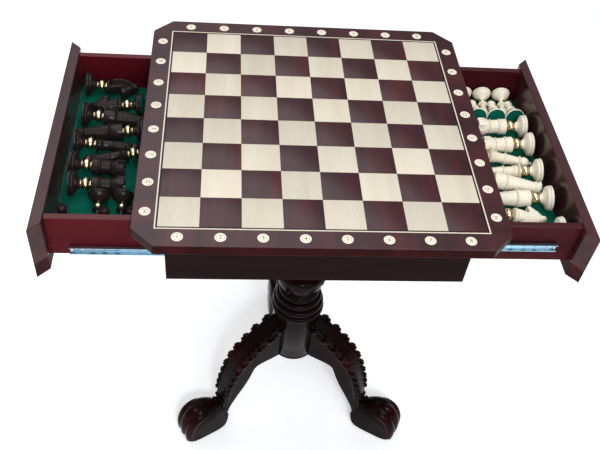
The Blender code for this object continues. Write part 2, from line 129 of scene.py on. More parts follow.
def tube(shape, path, radii, place, steps=16):
    """A round bar along a path of (x, z) points in the plane y = 0."""
    sections = []
    for i, ((x, z), radius) in enumerate(zip(path, radii)):
        before, after = path[max(i - 1, 0)], path[min(i + 1, len(path) - 1)]
        along = Vector((after[0] - before[0], 0.0, after[1] - before[1])).normalized()
        out = Vector((-along.z, 0.0, along.x))
        section = []
        for k in range(steps):
            angle = 2 * math.pi * k / steps
            offset = out * math.cos(angle) + Vector((0.0, 1.0, 0.0)) * math.sin(angle)
            section.append(place @ (Vector((x, 0.0, z)) + radius * offset))
        sections.append(section)
    loft(shape, sections)


def block(shape, low, high, edge):
    """A box between two corners, with its edges rounded."""
    size = Vector(high) - Vector(low)
    matrix = Matrix.Translation((Vector(low) + Vector(high)) / 2) @ Matrix.Diagonal((*size, 1.0))
    made = bmesh.ops.create_cube(shape, size=1.0, matrix=matrix)
    edges = list(dict.fromkeys(e for vertex in made["verts"] for e in vertex.link_edges))
    bmesh.ops.bevel(shape, geom=edges, offset=edge, segments=2, profile=0.6, affect="EDGES")


def slab(shape, outline, levels, pivot):
    """An outline in the (x, z) plane carried across y. Each level is (y, scale about the pivot)."""
    loft(shape, [
        [(pivot[0] + (x - pivot[0]) * scale, y, pivot[1] + (z - pivot[1]) * scale) for x, z in outline]
        for y, scale in levels
    ])


BALL_PROFILE = [(math.cos(a), math.sin(a)) for a in (math.radians(v) for v in range(-87, 88, 29))]


def rounded(mesh, sharp=38.0):
    """Shades a mesh smoothly, but for the edges that turn by more than an angle in degrees."""
    mesh.shade_smooth()
    mesh.set_sharp_from_angle(angle=math.radians(sharp))
    return mesh


def finished_mesh(name, shape, sharp=38.0):
    bmesh.ops.recalc_face_normals(shape, faces=shape.faces)
    mesh = bpy.data.meshes.new(name)
    shape.to_mesh(mesh)
    shape.free()
    return rounded(mesh, sharp)


def added_object(name, data):
    thing = bpy.data.objects.new(name, data)
    bpy.context.scene.collection.objects.link(thing)
    return thing


def new_piece(name, mesh, finish, body, stands_for=(), place=Matrix()):
    """Shows a mesh as a piece that moves with a body, and gives the mesh its finish when it has none yet.
    """
    thing = added_object(name, mesh)
    thing.matrix_world = place
    if not mesh.materials:
        mesh.materials.append(FINISHES[finish])
    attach(thing, body)
    if stands_for:
        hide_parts(*stands_for)
    return thing


def show(name, shape, finish, body, stands_for=(), sharp=38.0):
    """Shows a shape as a piece."""
    return new_piece(name, finished_mesh(name, shape, sharp), finish, body, stands_for)


def evaluated_mesh(thing):
    """The mesh of an object with its modifiers applied; the object itself is removed."""
    bpy.context.view_layer.update()
    graph = bpy.context.evaluated_depsgraph_get()
    mesh = bpy.data.meshes.new_from_object(thing.evaluated_get(graph))
    bpy.data.objects.remove(thing)
    return mesh


def carved_mesh(name, shape, voxel):
    """One even skin over all the closed shapes that overlap here, softened as a carver's sanding does."""
    thing = added_object(name, finished_mesh(name, shape))
    union = thing.modifiers.new("union", "REMESH")
    union.mode = "VOXEL"
    union.voxel_size = voxel
    soften = thing.modifiers.new("soften", "SMOOTH")
    soften.factor = 0.5
    mesh = evaluated_mesh(thing)
    mesh.shade_smooth()
    return mesh


# ---- finishes

class Finish:
    """A Principled material, with short ways to add the nodes that the finishes share."""

    def __init__(self, name, roughness, **sockets):
        self.material = bpy.data.materials.new(name)
        self.material.use_nodes = True
        self.tree = self.material.node_tree
        self.shader = self.tree.nodes["Principled BSDF"]
        self.surface(Roughness=roughness, **sockets)
        self.place = self.tree.nodes.new("ShaderNodeTexCoord").outputs["Object"]

    def feed(self, socket, value):
        """Gives a socket a constant, or links another node's output to it."""
        if isinstance(value, bpy.types.NodeSocket):
            self.tree.links.new(value, socket)
        else:
            socket.default_value = value

    def set(self, node, **inputs):
        for name, value in inputs.items():
            self.feed(node.inputs[name.replace("_", " ")], value)
        return node

    def surface(self, **inputs):
        self.set(self.shader, **inputs)

    def add(self, kind, **inputs):
        return self.set(self.tree.nodes.new("ShaderNode" + kind), **inputs)

    def stretched(self, vector, scale):
        return self.add("Mapping", Vector=vector, Scale=scale).outputs["Vector"]

    def noise(self, vector, scale, detail=3.0, roughness=0.5, distortion=0.0):
        node = self.add("TexNoise", Vector=vector, Scale=scale, Detail=detail, Roughness=roughness,
                        Distortion=distortion)
        return node.outputs["Fac"]

    def spread(self, value, low, high, start=0.0, end=1.0):
        node = self.add("MapRange", Value=value)
        self.set(node, From_Min=start, From_Max=end, To_Min=low, To_Max=high)
        return node.outputs["Result"]

    def ramp(self, value, stops):
        node = self.add("ValToRGB", Fac=value)
        elements = node.color_ramp.elements
        while len(elements) < len(stops):
            elements.new(0.5)
        for element, (position, colour) in zip(elements, stops):
            element.position = position
            element.color = (*colour, 1.0)
        return node.outputs["Color"]

    def maths(self, operation, *values, kind="Math"):
        node = self.tree.nodes.new("ShaderNode" + kind)
        node.operation = operation
        for socket, value in zip(node.inputs, values):
            self.feed(socket, value)
        return node.outputs[0]

    def mix(self, factor, a, b, blend="MIX"):
        node = self.tree.nodes.new("ShaderNodeMix")
        node.data_type = "RGBA"
        node.blend_type = blend
        for index, value in ((0, factor), (6, a), (7, b)):
            self.feed(node.inputs[index], (*value, 1.0) if isinstance(value, tuple) else value)
        return node.outputs[2]

    def bump(self, height, strength, distance):
        normal = self.add("Bump", Height=height, Strength=strength, Distance=distance)
        self.surface(Normal=normal.outputs["Normal"])

    def square_shuffle(self, amount):
        """Moves the grain of each square of the board elsewhere in the wood."""
        cell = self.maths("DIVIDE", self.place, (SQUARE, SQUARE, 1.0), kind="VectorMath")
        corner = self.maths("FLOOR", cell, kind="VectorMath")
        random = self.add("TexWhiteNoise", Vector=corner)
        self.place = self.maths("MULTIPLY_ADD", random.outputs["Color"], (amount,) * 3, self.place,
                                kind="VectorMath")
        return random.outputs["Value"]

    def facing(self, axis):
        """How far a face looks along one axis, from -1 to 1."""
        normal = self.add("NewGeometry").outputs["True Normal"]
        return self.add("SeparateXYZ", Vector=normal).outputs[axis]

    def inner_faces(self):
        """1 on the faces of a front board that look into its drawer, 0 on the others."""
        parts = self.add("SeparateXYZ", Vector=self.place)
        inward = self.maths("MULTIPLY", parts.outputs["X"], self.facing("X"))
        above = self.maths("GREATER_THAN", parts.outputs["Z"], DRAWER_UNDERSIDE)
        return self.maths("MULTIPLY", self.maths("LESS_THAN", inward, -0.05), above)

    def frame_grain(self):
        """Turns the grain to run along each side of a square frame, with mitres at its corners."""
        parts = self.add("SeparateXYZ", Vector=self.place)
        x, y, z = (parts.outputs[axis] for axis in "XYZ")
        along_x = self.maths("GREATER_THAN", self.maths("ABSOLUTE", y), self.maths("ABSOLUTE", x))
        turned_round = self.add("CombineXYZ", X=y, Y=x, Z=z).outputs["Vector"]
        node = self.tree.nodes.new("ShaderNodeMix")
        node.data_type = "VECTOR"
        for index, value in ((0, along_x), (4, turned_round), (5, self.place)):
            self.feed(node.inputs[index], value)
        self.place = node.outputs[1]


def grain_scale(along, squeeze=0.05):
    """Scale of the texture space in which the wood's grain runs along one axis."""
    return tuple(squeeze if axis == along else 1.0 for axis in "XYZ")


def wood_colour(finish, tones, grain, fibres, pore_mask, contrast):
    """Broad figure in three tones, shaded by the fibres and darkened in the pores."""
    dark, middle, streak = tones
    colour = finish.ramp(grain, [(0.30, dark), (0.52, middle), (0.74, streak)])
    shade = finish.ramp(fibres, [(0.30, (0.72,) * 3), (0.70, (1.12,) * 3)])
    colour = finish.mix(contrast, colour, shade, "MULTIPLY")
    return finish.mix(pore_mask, colour, tuple(0.45 * c for c in dark))


def wood(name, tones, along, roughness, polish, figure, fibre_depth=0.18, contrast=0.8,
         squares=False, framed=False, top_polish=None, inside_polish=None):
    """A polished, stained wood, with its grain along an axis, in squares or round a frame; a framed wood's
    edge faces get painted shade.
    """
    finish = Finish(name, roughness)
    shine = finish.spread(finish.facing("Z"), polish, top_polish or polish)
    tone = finish.square_shuffle(4.0) if squares else None
    if framed:
        finish.frame_grain()
    grain = finish.stretched(finish.place, grain_scale(along))
    fibres = finish.noise(grain, 760.0, 2.0, 0.6)
    pores = finish.noise(finish.stretched(finish.place, grain_scale(along, 0.12)), 1500.0, 1.0)
    pore_mask = finish.spread(pores, 0.0, 0.6 * contrast, 0.66, 0.74)
    broad = finish.noise(grain, figure, 5.0, 0.55, 0.7)
    colour = wood_colour(finish, tones, broad, fibres, pore_mask, contrast)
    if squares:
        tint = finish.ramp(tone, [(0.0, (0.86,) * 3), (1.0, (1.10,) * 3)])
        colour = finish.mix(1.0, colour, tint, "MULTIPLY")
    if framed:
        # painted shade: faces that look sideways are painted darker and redder than the top
        edge = finish.ramp(finish.facing("Z"), [(0.1, (0.62, 0.36, 0.30)), (0.8, (1.0, 1.0, 1.0))])
        colour = finish.mix(1.0, colour, edge, "MULTIPLY")
    rough = finish.spread(finish.noise(finish.place, 11.0, 4.0), roughness - 0.06, roughness + 0.09)
    if inside_polish:
        inside = finish.inner_faces()
        shine = finish.maths("MAXIMUM", shine, finish.maths("MULTIPLY", inside, inside_polish))
        rough = finish.maths("MULTIPLY", rough, finish.spread(inside, 1.0, 0.45))
    finish.surface(Base_Color=colour, Roughness=rough, Specular_IOR_Level=shine)
    finish.bump(finish.maths("SUBTRACT", fibres, pore_mask), fibre_depth, 0.0002)
    return finish.material


def carved_wood(name, base, rubbed, roughness=0.13):
    """Nearly black polish over carving, worn through to red where hands and shoes touch it, with painted
    shade in its hollows and a painted highlight on its convex edges.
    """
    finish = Finish(name, roughness, Specular_IOR_Level=0.04)
    attribute = finish.add("Attribute")
    attribute.attribute_name = "rub"
    grain = finish.stretched(finish.place, grain_scale("Z", 0.12))
    broad = finish.noise(grain, 60.0, 4.0, 0.6, 0.5)
    colour = finish.ramp(broad, [(0.3, base), (0.7, tuple(1.9 * c for c in base))])
    patches = finish.noise(finish.place, 55.0, 4.0, 0.65)
    amount = finish.maths("MULTIPLY", attribute.outputs["Fac"],
                          finish.spread(patches, 0.0, 1.0, 0.38, 0.62))
    colour = finish.mix(amount, colour, rubbed)
    hollow = finish.add("NewGeometry").outputs["Pointiness"]
    # painted shade: the carving's hollows, found by pointiness, are painted darker
    painted_hollow_shade = finish.ramp(hollow, [(0.40, (0.35,) * 3), (0.50, (1.0,) * 3)])
    # painted highlight: the convex edges of the carving are painted a lighter grey
    edges = finish.ramp(hollow, [(0.52, (0.0,) * 3), (0.62, (0.030, 0.025, 0.029))])
    colour = finish.mix(0.9, colour, painted_hollow_shade, "MULTIPLY")
    finish.surface(Base_Color=finish.mix(1.0, colour, edges, "ADD"))
    finish.surface(Roughness=finish.spread(patches, roughness - 0.03, roughness + 0.10))
    finish.bump(finish.noise(grain, 420.0, 3.0, 0.6), 0.12, 0.0003)
    return finish.material


def felt_cloth(name, dark, light):
    """Short-haired billiard felt."""
    finish = Finish(name, 0.95, Sheen_Weight=0.55, Sheen_Roughness=0.45,
                    Sheen_Tint=(*light, 1.0), Specular_IOR_Level=0.15)
    hairs = finish.noise(finish.place, 1400.0, 3.0, 0.7, 1.5)
    mottle = finish.noise(finish.place, 38.0, 4.0, 0.6)
    colour = finish.ramp(mottle, [(0.30, dark), (0.72, light)])
    shade = finish.ramp(hairs, [(0.30, (0.70,) * 3), (0.72, (1.15,) * 3)])
    finish.surface(Base_Color=finish.mix(0.8, colour, shade, "MULTIPLY"))
    finish.bump(hairs, 0.5, 0.0006)
    return finish.material


def metal(name, colour, stained, roughness, scratches_along):
    """Plated or polished metal with fine drawn scratches and faint clouds in the plating."""
    finish = Finish(name, roughness, Metallic=1.0)
    clouds = finish.noise(finish.place, 90.0, 4.0, 0.6)
    lines = finish.noise(finish.stretched(finish.place, grain_scale(scratches_along, 0.02)), 2600.0)
    finish.surface(Base_Color=finish.ramp(clouds, [(0.35, colour), (0.70, stained)]))
    finish.surface(Roughness=finish.spread(lines, roughness - 0.07, roughness + 0.12))
    finish.bump(lines, 0.06, 0.0001)
    return finish.material


def lacquered(name, colour, grain_and_cut_shade, roughness, polish):
    """Turned and lacquered wood of the chessmen and discs: painted shade in the cuts, faint growth lines.
    """
    finish = Finish(name, roughness, Specular_IOR_Level=polish)
    grain = finish.stretched(finish.place, grain_scale("Z", 0.1))
    lines = finish.noise(grain, 260.0, 4.0, 0.6, 0.6)
    body = finish.ramp(lines, [(0.20, grain_and_cut_shade), (0.50, colour)])
    hollow = finish.add("NewGeometry").outputs["Pointiness"]
    # painted shade: the turned cuts, found by pointiness, are painted in the dark tone
    painted_cut_shade = finish.ramp(hollow, [(0.42, grain_and_cut_shade), (0.50, (1.0, 1.0, 1.0))])
    finish.surface(Base_Color=finish.mix(0.75, body, painted_cut_shade, "MULTIPLY"))
    finish.surface(Roughness=finish.spread(lines, roughness - 0.05, roughness + 0.10))
    finish.bump(lines, 0.10, 0.0002)
    return finish.material


def plain_board(name, dark, light):
    """Unpolished wood inside the case and under it."""
    return wood(name, (dark, light, light), "X", 0.6, 0.2, 20.0, 0.4)


MAHOGANY = ((0.027, 0.0050, 0.0078), (0.043, 0.0080, 0.0115), (0.078, 0.0105, 0.0140))
MAPLE = ((0.595, 0.520, 0.405), (0.640, 0.570, 0.455), (0.680, 0.612, 0.500))
PALE_MAPLE = ((0.65, 0.58, 0.44), (0.71, 0.64, 0.51), (0.75, 0.69, 0.57))
EBONY = ((0.012, 0.008, 0.009), (0.018, 0.010, 0.011), (0.030, 0.012, 0.012))
DARK_MAHOGANY = ((0.0070, 0.0028, 0.0028), (0.0120, 0.0038, 0.0038), (0.0210, 0.0055, 0.0052))
FRONT_MAHOGANY = ((0.030, 0.0085, 0.0100), (0.047, 0.0130, 0.0150), (0.076, 0.0185, 0.0210))
RED_STAIN = ((0.066, 0.0045, 0.0080), (0.088, 0.0060, 0.0100), (0.115, 0.0085, 0.0135))
# Tones of the right drawer's sides: a darker version of the left sides' red stain.
DARKER_SIDE_TONES = ((0.036, 0.0040, 0.0072), (0.048, 0.0052, 0.0090), (0.064, 0.0075, 0.0120))
END_STAIN = ((0.062, 0.0070, 0.0100), (0.084, 0.0090, 0.0125), (0.112, 0.0120, 0.0160))

FINISHES = {
    "border": wood("mahogany_border", MAHOGANY, "Y", 0.32, 0.03, 30.0, framed=True, top_polish=0.44),
    "dark_square": wood("mahogany_squares", MAHOGANY, "Y", 0.32, 0.03, 42.0, squares=True,
                        top_polish=0.44),
    "light_square": wood("maple_squares", MAPLE, "Y", 0.40, 0.2, 30.0, 0.06, 0.20, squares=True),
    "maple_line": wood("maple_line", PALE_MAPLE, "Y", 0.40, 0.2, 60.0, 0.06, 0.20, framed=True),
    "ebony_line": wood("ebony_line", EBONY, "Y", 0.36, 0.2, 60.0, framed=True),
    "apron": wood("apron_mahogany", DARK_MAHOGANY, "X", 0.40, 0.03, 46.0, 0.45),
    "drawer_front": wood("drawer_front_mahogany", FRONT_MAHOGANY, "Y", 0.42, 0.025, 44.0, 0.45,
                         top_polish=0.45, inside_polish=0.25),
    "left_side": wood("red_stained_sides", RED_STAIN, "X", 0.36, 0.04, 24.0, 0.2, top_polish=0.35),
    "right_side": wood("darker_right_sides", DARKER_SIDE_TONES, "X", 0.36, 0.04, 24.0, 0.2,
                       top_polish=0.35),
    "box_end": wood("red_stained_ends", END_STAIN, "Y", 0.36, 0.04, 24.0, 0.2),
    "case_board": plain_board("case_board", (0.045, 0.017, 0.014), (0.075, 0.028, 0.021)),
    "beech": plain_board("beech", (0.42, 0.25, 0.13), (0.55, 0.34, 0.18)),
    "carved": carved_wood("black_mahogany_carving", (0.0046, 0.0018, 0.0021), (0.048, 0.0045, 0.0045)),
    "felt": felt_cloth("green_felt", (0.0, 0.070, 0.045), (0.0, 0.125, 0.080)),
    "sole": felt_cloth("foot_pad_felt", (0.012, 0.012, 0.012), (0.030, 0.029, 0.028)),
    "zinc": metal("blue_zinc", (0.38, 0.57, 0.68), (0.49, 0.67, 0.75), 0.30, "X"),
    "steel": metal("bright_steel", (0.55, 0.55, 0.56), (0.63, 0.63, 0.62), 0.25, "Z"),
    "cage": metal("cage_brass", (0.60, 0.45, 0.24), (0.70, 0.55, 0.32), 0.32, "X"),
    "brass": metal("polished_brass", (0.70, 0.58, 0.36), (0.80, 0.69, 0.47), 0.20, "Z"),
    # The second colour of each lacquered finish is both its dark grain tone and the painted shade in its
    # cuts.
    "ivory": lacquered("boxwood_white", (0.80, 0.735, 0.60), (0.66, 0.55, 0.39), 0.34, 0.25),
    "ebony": lacquered("ebonised_black", (0.019, 0.0115, 0.0110), (0.0070, 0.0045, 0.0048), 0.22, 0.20),
    "disc": lacquered("disc_boxwood", (0.83, 0.775, 0.64), (0.74, 0.66, 0.50), 0.42, 0.2),
    "burnt": lacquered("burnt_mark", (0.30, 0.17, 0.10), (0.18, 0.10, 0.05), 0.6, 0.1),
}


# ---- top

def square_edges(index):
    """Where a file or rank begins and ends; the outer ones are trimmed by the stringing."""
    low = max(-FIELD_HALF, (index - 4) * SQUARE + JOINT_LINE)
    high = min(FIELD_HALF, (index - 3) * SQUARE - JOINT_LINE)
    return low, high


def build_squares():
    shapes = {"light_square": bmesh.new(), "dark_square": bmesh.new()}
    for file in range(8):
        for rank in range(8):
            (left, right), (near, far) = square_edges(file), square_edges(rank)
            shape = shapes["light_square" if (file + rank) % 2 == 0 else "dark_square"]
            block(shape, (left, near, TOP_SURFACE - INLAY), (right, far, TOP_SURFACE), TILE_EDGE)
    show("light_squares", shapes["light_square"], "light_square", "table", ["playing_field"])
    show("dark_squares", shapes["dark_square"], "dark_square", "table")


def disc_places():
    """(text, x, y, turn) of the 32 marks: numbers along the players' sides, letters up the others."""
    for i in range(8):
        across = (i - 3.5) * SQUARE
        yield str(i + 1), across, -DISC_PLACE, 0.0
        yield str(i + 1), across, DISC_PLACE, math.pi
        yield FILES[7 - i], -DISC_PLACE, across, -math.pi / 2
        yield FILES[7 - i], DISC_PLACE, across, math.pi / 2


def glyph_mesh(text):
    curve = bpy.data.curves.new("glyph", "FONT")
    curve.body = text
    curve.size = GLYPH_SIZE
    curve.align_x = "CENTER"
    curve.align_y = "CENTER"
    curve.extrude = DISC_PROUD / 2
    curve.offset = GLYPH_SIZE * 0.02
    return evaluated_mesh(added_object("glyph", curve))


def build_discs():
    """Thin turned discs set in the border, each with a burnt ring and a burnt number or letter."""
    discs, marks = bmesh.new(), bmesh.new()
    high = TOP_SURFACE + DISC_PROUD
    profile = [(DISC_RADIUS, high - INLAY), (DISC_RADIUS, TOP_SURFACE)]
    profile += [(DISC_RADIUS - 0.0003, high), (DISC_RADIUS * 0.74, high)]
    profile += [(DISC_RADIUS * 0.70, high - 0.0001), (DISC_RADIUS * 0.66, high), (0.0006, high)]
    inside, outside = DISC_RADIUS * 0.665, DISC_RADIUS * 0.735
    burnt = [(inside, high - 0.0002), (outside, high - 0.0002), (outside, high + 0.00001),
             (inside, high + 0.00001)]
    for text, x, y, turn in disc_places():
        place = Matrix.Translation((x, y, 0.0)) @ Matrix.Rotation(turn, 4, "Z")
        turned(discs, profile, place, 40)
        turned(marks, burnt, place, 40, ring=True)
        first = len(marks.verts)
        mesh = glyph_mesh(text)
        marks.from_mesh(mesh)
        marks.verts.ensure_lookup_table()
        lift = place @ Matrix.Translation((0.0, 0.0, high))
        bmesh.ops.transform(marks, matrix=lift, verts=marks.verts[first:])
        bpy.data.meshes.remove(mesh)
    show("coordinate_discs", discs, "disc", "table")
    show("coordinate_marks", marks, "burnt", "table")


# ---- pedestal

# Crest (distance from the axis, height), underside (distance, height), half-width of the carved band
# along the crest and of the plain web below it, in millimetres, from the hub to the ankle.
LEG_STATIONS = [
    (42, 258, 42, 154, 18.5, 16.5), (58, 249, 60, 154, 19, 17), (80, 236, 80, 154, 20, 17),
    (104, 217, 96, 149, 20, 17), (126, 196, 107, 124, 20, 17), (142, 172, 119, 101, 19, 17),
    (154, 143, 131, 80, 18, 16), (163, 110, 141, 63, 17, 16), (167, 84, 149, 48, 16, 16),
    (170, 66, 154, 33, 15, 16), (182, 60, 158, 18, 16, 18), (196, 58, 163, 10, 18, 20),
]
CREST_STATIONS = 10                  # the stations above the paw, which carry the carving
BAND_DEPTH = 22.0                    # of the carved band, down the side of the leg
# Back of the paw (distance, height), its sole (distance, height) and its half-widths at both.
PAW_STATIONS = [
    (170, 66, 154, 26, 15, 17), (178, 72, 157, 16, 17, 19), (190, 82, 163, 8, 21, 23),
    (205, 87.5, 173, 5.4, 25, 26), (220, 86, 190, 5.4, 26.5, 27.5), (233, 77, 211, 5.4, 26.5, 27.5),
    (244, 58, 229, 5.4, 24.5, 27), (249, 35, 240, 5.4, 21.5, 25), (248, 14, 244, 5.4, 18, 22),
]
TOE_PATH = [(196, 74), (210, 79.5), (224, 77), (235, 68), (242, 52), (244, 34), (243, 15.2)]
TOE_RADII = [4.5, 8.4, 10.0, 10.2, 10.0, 9.8, 9.6]
TOE_PLACES = ((-16.6, -1.5, -8.0), (0.0, 0.0, 0.0), (16.6, -1.5, -8.0))   # across, forwards, up
LOBES = 10
FIRST_LOBE = 14.0                    # along the crest from the hub, and the first spacing
LOBE_SPACING = 29.0
LOBE_SHRINK = 0.925


def leg_section(station):
    """Section of the leg: a fluted channel along the crest, the carved band and the plain web."""
    crest_r, crest_z, under_r, under_z, band, web = station
    deep = math.hypot(crest_r - under_r, crest_z - under_z)
    band_low = min(BAND_DEPTH, 0.45 * deep)
    half = [(band - 7, 3.2), (band - 4, 2.6), (band - 1.5, 3.4), (band - 0.6, 5.5)]
    half += [(band - 0.6, band_low - 4), (band + 0.4, band_low - 2.5), (band, band_low)]
    half += [(web, band_low + 2.0), (web, deep - 5), (web - 1.5, deep - 1.5), (web - 4, deep)]
    loop = half + [(-across, down) for across, down in reversed(half)]
    section = []
    for across, down in loop:
        share = down / deep
        r = crest_r + (under_r - crest_r) * share
        z = crest_z + (under_z - crest_z) * share
        section.append(Vector((r, across, z)) * MM)
    return section


def crest_frames():
    """A frame at each small step along the crest: x towards the ankle, y across, z out of the leg."""
    crest = smooth_curve([(s[0], s[1]) for s in LEG_STATIONS[:CREST_STATIONS]], 24)
    frames, distance = [], 0.0
    for (r, z), (next_r, next_z) in zip(crest, crest[1:]):
        along = Vector((next_r - r, 0.0, next_z - z))
        step = along.length
        along.normalize()
        out = along.cross(Vector((0.0, 1.0, 0.0)))
        matrix = Matrix((along, (0.0, 1.0, 0.0), out)).transposed().to_4x4()
        frames.append((distance, Matrix.Translation(Vector((r, 0.0, z)) * MM) @ matrix))
        distance += step
    return frames


def frame_at(frames, distance):
    return min(frames, key=lambda item: abs(item[0] - distance))[1]


def band_half(frames, distance):
    """Half-width of the carved band at a distance along the crest."""
    total = frames[-1][0]
    position = (CREST_STATIONS - 1) * min(distance / total, 0.999)
    index = int(position)
    share = position - index
    return LEG_STATIONS[index][4] * (1 - share) + LEG_STATIONS[index + 1][4] * share


# One repeat of the leaf border, in millimetres: how far along the crest, out from the band's edge and up,
# then the half-sizes along, across and up, and the tilt towards the ankle.
SCROLL = [
    (0.0, 1.8, -6.0, 6.2, 5.2, 12.0, 0.28),
    (-4.0, -2.0, 1.8, 3.8, 4.6, 4.2, 0.0),
    (9.4, -1.6, 0.8, 4.2, 5.0, 4.6, 0.0),
    (9.8, 1.8, -12.4, 4.3, 4.0, 4.5, 0.0),
    (17.4, 2.0, -15.2, 4.1, 3.8, 4.1, 0.0),
    (18.0, -1.2, -5.4, 5.4, 2.8, 3.0, 0.5),
]


def add_scrolls(shape, frames):
    """Leaf scrolls along both edges of the crest: a long lobe, a curled tooth and buds in each repeat."""
    distance, spacing = FIRST_LOBE, LOBE_SPACING
    for _ in range(LOBES):
        size = spacing / LOBE_SPACING
        for side in (-1.0, 1.0):
            edge = band_half(frames, distance)
            for along, out, up, half_x, half_y, half_z, tilt in SCROLL:
                place = frame_at(frames, distance + along * size)
                centre = Vector((0.0, side * (edge + out * size), up * size)) * MM
                halves = (half_x * size * MM, half_y * size * MM, half_z * size * MM)
                blob(shape, place, centre, halves, tilt)
        distance += spacing
        spacing *= LOBE_SHRINK


def add_flutes(shape, frames):
    """Three thin ribs that run along the channel between the scrolls."""
    turns = [math.pi * i / 3 for i in range(6)]
    for across in (-6.0, 0.0, 6.0):
        rib = [Vector((0.0, across + 1.5 * math.cos(a), -2.9 + 1.7 * math.sin(a))) * MM for a in turns]
        loft(shape, [[place @ point for point in rib] for _, place in frames[4:-6:3]])


def add_ankle(shape):
    """Two knuckle rolls across the leg where it meets the paw."""
    for r, z, radius, half in ((166, 75, 5.0, 12.5), (173, 67, 4.2, 11.0)):
        for i in range(7):
            across = half * (i / 3 - 1)
            ball = radius * (1 - 0.25 * abs(i / 3 - 1)) * MM
            blob(shape, Matrix(), Vector((r, across, z)) * MM, (ball, ball * 1.2, ball))


def paw_section(station):
    """Section of the paw's body: flat sides, a flat sole and a rounded back."""
    top_r, top_z, sole_r, sole_z, top_half, sole_half = station
    section = []
    for i in range(13):
        angle = math.pi * i / 12
        across = math.copysign(abs(math.cos(angle)) ** 0.7, math.cos(angle))
        share = 0.60 + 0.40 * math.sin(angle)
        half = sole_half + (top_half - sole_half) * share
        r, z = (low + (high - low) * share for low, high in ((sole_r, top_r), (sole_z, top_z)))
        section.append(Vector((r, half * across, z)) * MM)
    for side in (-1.0, 1.0):
        section.append(Vector((sole_r, side * sole_half, sole_z)) * MM)
    return section


def add_paw(shape):
    loft(shape, [paw_section(station) for station in smooth_curve(PAW_STATIONS, 5)])
    path = [(r * MM, z * MM) for r, z in smooth_curve(TOE_PATH, 5)]
    radii = [radius * MM for radius, in smooth_curve([(radius,) for radius in TOE_RADII], 5)]
    for across, forwards, up in TOE_PLACES:
        lower = Matrix.Translation((forwards * MM, across * MM, 0.0))
        toe = [(x, z + up * MM * min(1.0, z / 0.04)) for x, z in path]
        tube(shape, toe, radii, lower)


def clamp(value):
    return max(0.0, min(1.0, value))


def rub_amount(point):
    """How far the polish is worn, from a point in the leg's own frame."""
    r, across, z = point / MM
    middle = math.exp(-(((r - 128) / 26) ** 2 + ((z - 190) / 24) ** 2))
    toes = clamp((r - 212) / 24) * clamp((z - 16) / 20)
    root = 0.5 * math.exp(-(((r - 66) / 20) ** 2 + ((z - 218) / 14) ** 2))
    ridge = clamp((abs(across) - 10) / 8)
    return min(1.0, 0.75 * middle * (0.4 + 0.6 * ridge) + 0.6 * toes + root)


def leg_mesh():
    shape = bmesh.new()
    loft(shape, [leg_section(station) for station in smooth_curve(LEG_STATIONS, 8)])
    frames = crest_frames()
    add_scrolls(shape, frames)
    add_flutes(shape, frames)
    add_ankle(shape)
    add_paw(shape)
    mesh = carved_mesh("carved_leg", shape, 0.0010)
    rub = mesh.attributes.new("rub", "FLOAT", "POINT")
    for vertex, value in zip(mesh.vertices, rub.data):
        value.value = rub_amount(vertex.co)
    return mesh


def build_legs():
    mesh = leg_mesh()
    for name, angle in LEG_ANGLES.items():
        place = AXIS @ Matrix.Rotation(math.radians(angle), 4, "Z")
        new_piece(f"carved_{name}_leg", mesh, "carved", "table", [f"{name}_leg"], place)


PETALS = 6
CUP_TIP = 0.350
CUP_RIM = 0.386


def petal_cut(radius, height, angle):
    """The cup's pointed petals: a fine cut along their edges and a slightly hollow face."""
    if not CUP_TIP - 0.004 < height < CUP_RIM:
        return radius
    share = max(0.0, (height - CUP_TIP) / (CUP_RIM - CUP_TIP))
    turn = (angle / (2 * math.pi) * PETALS + 0.75) % 1.0 - 0.5
    edge = 0.5 * share**0.6
    away = (abs(turn) - edge) * 2 * math.pi / PETALS * radius
    cut = 0.0016 * math.exp(-((away / 0.0013) ** 2))
    lower = 0.0012 if abs(turn) > edge else 0.0
    return radius - cut - lower


def dense_profile(points, step=0.0008):
    """A smooth profile through the points, with even small steps."""
    curve = smooth_curve(points, 12)
    profile = [curve[0]]
    for point in curve[1:]:
        if math.dist(point, profile[-1]) >= step:
            profile.append(point)
    return profile + [curve[-1]]


def build_column():
    """Top flange, baluster and the carved cup that stands on the hub's rings."""
    low, high = (corner.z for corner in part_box("column"))
    cup = [(0.0350, low), (0.0365, 0.340), (0.0410, 0.350), (0.0455, 0.364), (0.0475, 0.378),
           (0.0465, 0.387), (0.0400, 0.392), (0.0335, 0.3945)]
    vase = [(0.0325, 0.407), (0.0400, 0.418), (0.0435, 0.435), (0.0405, 0.455), (0.0340, 0.482),
            (0.0285, 0.515), (0.0262, 0.545), (0.0272, high - 0.034)]
    profile = dense_profile(cup) + bead(0.0315, 0.0370, 0.3955, 0.4060) + dense_profile(vase)
    profile += bead(0.0290, 0.0370, high - 0.0320, high - 0.0210)
    profile += [(0.0320, high - 0.0185), (0.0400, high - 0.0140), (0.0450, high - 0.0105),
                (0.0460, high - 0.0085), (0.0460, high - 0.0008), (0.0452, high)]
    shape = bmesh.new()
    turned(shape, profile, AXIS, 192, petal_cut)
    show("turned_column", shape, "carved", "table", ["column"], 50)


HUB_RINGS = [(0.0455, 0.0495, 0.2770, 0.2900), (0.0410, 0.0475, 0.2905, 0.3055),
             (0.0360, 0.0430, 0.3060, 0.3200)]


